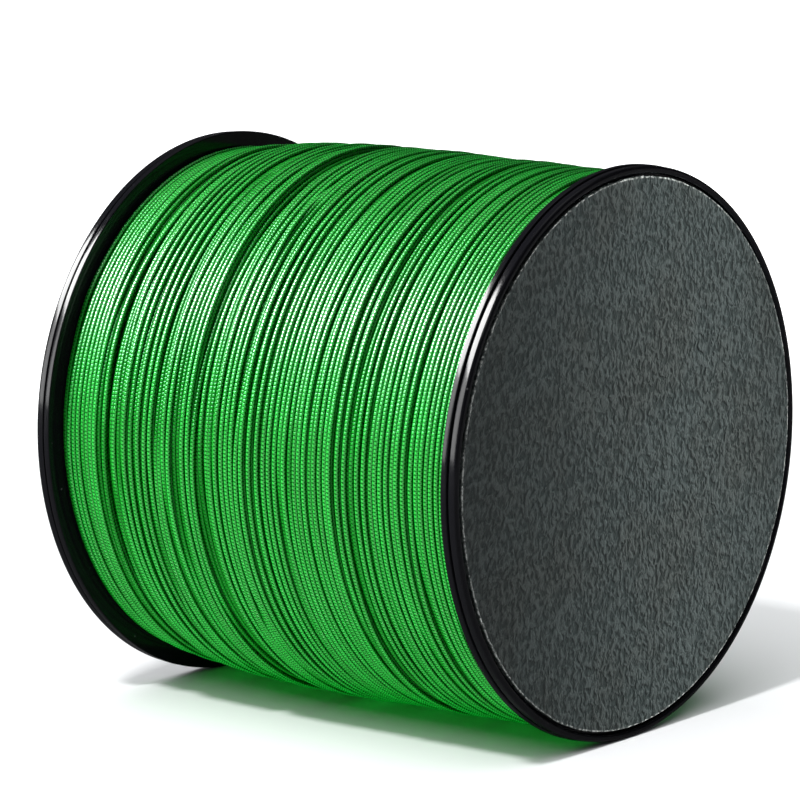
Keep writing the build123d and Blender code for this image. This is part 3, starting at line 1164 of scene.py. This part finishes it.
def facing_disc(end, opening_radius, settings):
    """A facing before its grain: a top of fine rings, an uneven rounded edge, and a flat back."""
    segments = settings.segments
    rng = np.random.default_rng(settings.seed + (1 if end > 0 else 2))
    turn = np.arange(segments) * 2 * math.pi / segments
    ragged = sum(rng.normal() * np.cos(k * turn + rng.uniform(0, 2 * math.pi)) / math.sqrt(k)
                 for k in EDGE_WAVES)
    ragged *= settings.edge_unevenness / np.abs(ragged).max()
    made = bmesh.new()
    grain = made.verts.layers.float.new("grain")
    rings = []
    for x, radius, uneven, share in facing_rows(opening_radius, settings):
        ring = []
        for a, bulge in zip(turn, ragged):
            r = radius + bulge * uneven
            vertex = made.verts.new((end * x, r * math.cos(a), r * math.sin(a)))
            vertex[grain] = end * share
            ring.append(vertex)
        rings.append(ring)
    pairs = list(zip(rings, rings[1:]))
    if opening_radius > 0:
        pairs.append((rings[-1], rings[0]))
    for first, second in pairs:
        for i in range(segments):
            j = (i + 1) % segments
            made.faces.new((first[i], second[i], second[j], first[j]))
    if opening_radius == 0:
        for ring, x in ((rings[0], FACE_X), (rings[-1], FACING_X)):
            centre = made.verts.new((end * x, 0.0, 0.0))
            for i in range(segments):
                made.faces.new((ring[i], ring[(i + 1) % segments], centre))
    return finished_mesh(made, "facing")


def facing_mesh(end, opening_radius, settings):
    """A facing with its grain pressed in."""
    item = put_in_scene("facing", facing_disc(end, opening_radius, settings))
    press = item.modifiers.new("grain", "NODES")
    press.node_group = facing_grain_tree(shared("facing"))
    set_inputs(press, {"Grain size": settings.grain_size, "Grain depth": settings.grain_depth})
    mesh = evaluated_mesh(item, "facing")
    if "grain" in mesh.attributes:
        mesh.attributes.remove(mesh.attributes["grain"])
    mesh.set_sharp_from_angle(angle=math.radians(FACING_CREASE))
    return mesh


# ---------------------------------------------------------------- operators


def settings_of(kind):
    """The scene's sizes and colours of one kind."""
    return getattr(bpy.context.scene, "spool_" + kind)


def shared(kind):
    """A material or shader group that several operators use, made once."""
    if kind in SHARED:
        return SHARED[kind]
    line, plastic, facing = settings_of("line"), settings_of("plastic"), settings_of("facing")
    makers = {
        "braid": make_braid_group,
        "wear": make_wear_group,
        "line": lambda: make_line_material(line, shared("braid")),
        "gloss": lambda: make_gloss_material(plastic, shared("wear")),
        "inner": lambda: make_inner_material(plastic, shared("wear")),
        "facing": lambda: make_facing_material(facing),
    }
    SHARED[kind] = makers[kind]()
    return SHARED[kind]


def dress(node, material):
    """Gives a CAD node its material."""
    mesh = frame["nodes"][node].data
    mesh.materials.clear()
    mesh.materials.append(material)


class SPOOL_OT_line(bpy.types.Operator):
    """Winds the braided line and gives the buried turns their material"""
    bl_idname = "spool.line"
    bl_label = "Line"

    def execute(self, context):
        settings = settings_of("line")
        place, height, depth = Winding(settings).wind()
        count = len(place)
        angle = np.arange(count) * 2 * math.pi / settings.steps
        outward = np.column_stack([np.zeros(count), np.cos(angle), np.sin(angle)])
        points = outward * height[:, None]
        points[:, 0] = place
        length = np.concatenate([[0.0], np.cumsum(np.linalg.norm(np.diff(points, axis=0), axis=1))])
        tree = line_sweep_tree(shared("line"))
        span = TURNS_PER_PIECE * settings.steps
        for number, start in enumerate(range(0, count - 1, span), 1):
            part = slice(start, min(start + span + 1, count))
            route = route_mesh(points[part], outward[part], length[part] - length[start], depth[part])
            item = put_in_scene("route", route)
            sweep = item.modifiers.new("sweep", "NODES")
            sweep.node_group = tree
            set_inputs(sweep, {"Line width": settings.width, "Line height": settings.height,
                               "Points round the line": settings.profile_points})
            mesh = evaluated_mesh(item, "line_turns_%d" % number)
            add_line_maps(mesh)
            place_piece(mesh, mesh.name, SPOOL, "braid_green", shared("line"), "line_outer")
        # Painted shade: each buried ring's green is darkened to this share.
        for node, shade in (("line_middle", 0.35), ("line_pack", 0.5)):
            dress(node, make_buried_line_material(settings, shared("braid"), "Buried line " + node, shade))
        return {"FINISHED"}


class SPOOL_OT_flanges(bpy.types.Operator):
    """Turns the two flanges, with their spigots, hubs, ribs and peg sockets"""
    bl_idname = "spool.flanges"
    bl_label = "Flanges"

    def execute(self, context):
        segments = settings_of("plastic").segments
        for end, name, node in ((1, "front_flange_moulding", "front_flange"),
                                (-1, "rear_flange_moulding", "rear_flange")):
            place_piece(flange_mesh(end, segments), name, SPOOL, "black_plastic", shared("gloss"), node)
        return {"FINISHED"}


class SPOOL_OT_covers(bpy.types.Operator):
    """Turns the two end covers, with their lips and pegs"""
    bl_idname = "spool.covers"
    bl_label = "End covers"

    def execute(self, context):
        segments = settings_of("plastic").segments
        for end, name, node, body, opening in (
                (1, "front_cover_moulding", "front_cover", FRONT_END, 0.0),
                (-1, "rear_cover_moulding", "rear_cover", REAR_END, REAR_OPENING_RADIUS)):
            mesh = cover_mesh(end, opening, segments)
            place_piece(mesh, name, body, "black_plastic", shared("gloss"), node)
        return {"FINISHED"}


class SPOOL_OT_facings(bpy.types.Operator):
    """Makes the two leather-look facings"""
    bl_idname = "spool.facings"
    bl_label = "Facings"

    def execute(self, context):
        settings = settings_of("facing")
        for end, name, node, body, opening in (
                (1, "front_facing_leather", "front_facing", FRONT_END, 0.0),
                (-1, "rear_facing_leather", "rear_facing", REAR_END, FACING_OPENING_RADIUS)):
            mesh = facing_mesh(end, opening, settings)
            place_piece(mesh, name, body, "facing_leather", shared("facing"), node)
        return {"FINISHED"}


class SPOOL_OT_core(bpy.types.Operator):
    """Gives the drum, the arbor tube, the tape and the adhesive their materials"""
    bl_idname = "spool.core"
    bl_label = "Drum and inner pieces"

    def execute(self, context):
        for node in ("core_drum", "arbor_tube"):
            dress(node, shared("inner"))
        adhesive = make_adhesive_material()
        for node in ("front_adhesive", "rear_adhesive"):
            dress(node, adhesive)
        dress("start_tape", make_tape_material())
        return {"FINISHED"}


class SPOOL_OT_stage(bpy.types.Operator):
    """Sets the floor, the softboxes and the camera"""
    bl_idname = "spool.stage"
    bl_label = "Stage"

    def execute(self, context):
        settings = settings_of("stage")
        floor = bpy.data.meshes.new("floor")
        square = ((-1, -1), (1, -1), (1, 1), (-1, 1))
        corners = [(x * FLOOR_REACH, y * FLOOR_REACH, FLOOR_Z) for x, y in square]
        floor.from_pydata(corners, [], [(0, 1, 2, 3)])
        floor.materials.append(make_floor_material(settings))
        ground = put_in_scene("floor", floor)
        for kind in ("key", "side", "roof"):
            lamp = add_softbox(settings, kind)
            lamp.light_linking.receiver_collection = all_but(lamp, ground)
        bounce = add_softbox(settings, "bounce")
        light_only(bounce, [item for item in bpy.data.objects if item.name.startswith("line_")])
        bounce.light_linking.blocker_collection = all_but(bounce, ground)
        bounce.visible_glossy = False
        for kind in ("floor_key", "floor_fill"):
            light_only(add_softbox(settings, kind), [ground])
        strip = add_softbox(settings, "facing", FACING_LIGHT_AIM)
        strip.data.spread = FACING_LIGHT_SPREAD
        strip.visible_glossy = False
        facings = ("front_facing", "rear_facing")
        light_only(strip, [item for item in bpy.data.objects if item.name.startswith(facings)])
        rims = [item for item in bpy.data.objects if "_moulding" in item.name]
        light_only(add_softbox(settings, "rim"), rims)
        world = bpy.data.worlds.new("room")
        world.use_nodes = True
        tree = world.node_tree
        reflected = add_node(tree, "ShaderNodeLightPath").outputs["Is Glossy Ray"]
        strength = add_node(tree, "ShaderNodeMapRange", {
            "Value": reflected, "To Min": settings.world_strength, "To Max": settings.world_reflected})
        backdrop = tree.nodes["Background"]
        backdrop.inputs["Color"].default_value = ROOM_COLOR
        tree.links.new(strength.outputs[0], backdrop.inputs["Strength"])
        context.scene.world = world
        context.scene.view_settings.view_transform = "Standard"
        add_camera(settings)
        return {"FINISHED"}


def add_softbox(settings, kind, aim=(0.0, 0.0, 0.0)):
    """A rectangular softbox aimed at the spool's centre or at a given place."""
    name, place, size = SOFTBOXES[kind]
    data = bpy.data.lights.new(name, "AREA")
    data.shape = "RECTANGLE"
    data.size, data.size_y = size
    data.energy = getattr(settings, kind + "_power")
    lamp = put_in_scene(name, data)
    lamp.location = place
    lamp.rotation_euler = (Vector(aim) - Vector(place)).to_track_quat("-Z", "Y").to_euler()
    return lamp


def light_only(lamp, items):
    """Keeps a softbox's light to the given objects."""
    lit = bpy.data.collections.new(lamp.name + " receivers")
    for item in items:
        lit.objects.link(item)
    lamp.light_linking.receiver_collection = lit


def all_but(lamp, item):
    """A set for a softbox's links that leaves one object out."""
    left_out = bpy.data.collections.new(lamp.name + " left out")
    left_out.objects.link(item)
    left_out.collection_objects[0].light_linking.link_state = "EXCLUDE"
    return left_out


def add_camera(settings):
    """The camera, turned and moved as the settings say."""
    a, e = settings.azimuth, settings.elevation
    back = Vector((math.sin(a) * math.cos(e), -math.cos(a) * math.cos(e), math.sin(e)))
    right = Vector((math.cos(a), math.sin(a), 0))
    up = back.cross(right)
    data = bpy.data.cameras.new("camera")
    data.sensor_width = SENSOR_WIDTH
    data.lens = settings.lens
    data.clip_end = CLIP_END
    camera = put_in_scene("camera", data)
    turn = Matrix((right, up, back)).transposed().to_4x4()
    move = Matrix.Translation(settings.distance * back - settings.side_step * right + settings.lift * up)
    camera.matrix_world = move @ turn
    bpy.context.scene.camera = camera


# ---------------------------------------------------------------- panel and main

OPERATORS = (SPOOL_OT_line, SPOOL_OT_flanges, SPOOL_OT_covers, SPOOL_OT_facings, SPOOL_OT_core,
             SPOOL_OT_stage)
SETTINGS = (("line", LineSettings), ("plastic", PlasticSettings), ("facing", FacingSettings),
            ("stage", StageSettings))


class SPOOL_PT_panel(bpy.types.Panel):
    """The steps that build the spool, in order"""
    bl_idname = "SPOOL_PT_panel"
    bl_label = "Fishing line spool"
    bl_space_type = "VIEW_3D"
    bl_region_type = "UI"
    bl_category = "Spool"

    def draw(self, context):
        for step in OPERATORS:
            self.layout.operator(step.bl_idname)


def register():
    for _, kind in SETTINGS:
        bpy.utils.register_class(kind)
    for step in OPERATORS:
        bpy.utils.register_class(step)
    bpy.utils.register_class(SPOOL_PT_panel)
    for name, kind in SETTINGS:
        setattr(bpy.types.Scene, "spool_" + name, PointerProperty(type=kind))


def unregister():
    for name, _ in SETTINGS:
        delattr(bpy.types.Scene, "spool_" + name)
    bpy.utils.unregister_class(SPOOL_PT_panel)
    for step in reversed(OPERATORS):
        bpy.utils.unregister_class(step)
    for _, kind in reversed(SETTINGS):
        bpy.utils.unregister_class(kind)


def main():
    register()
    bpy.ops.spool.line()
    bpy.ops.spool.flanges()
    bpy.ops.spool.covers()
    bpy.ops.spool.facings()
    bpy.ops.spool.core()
    bpy.ops.spool.stage()


if __name__ == "__main__":
    main()
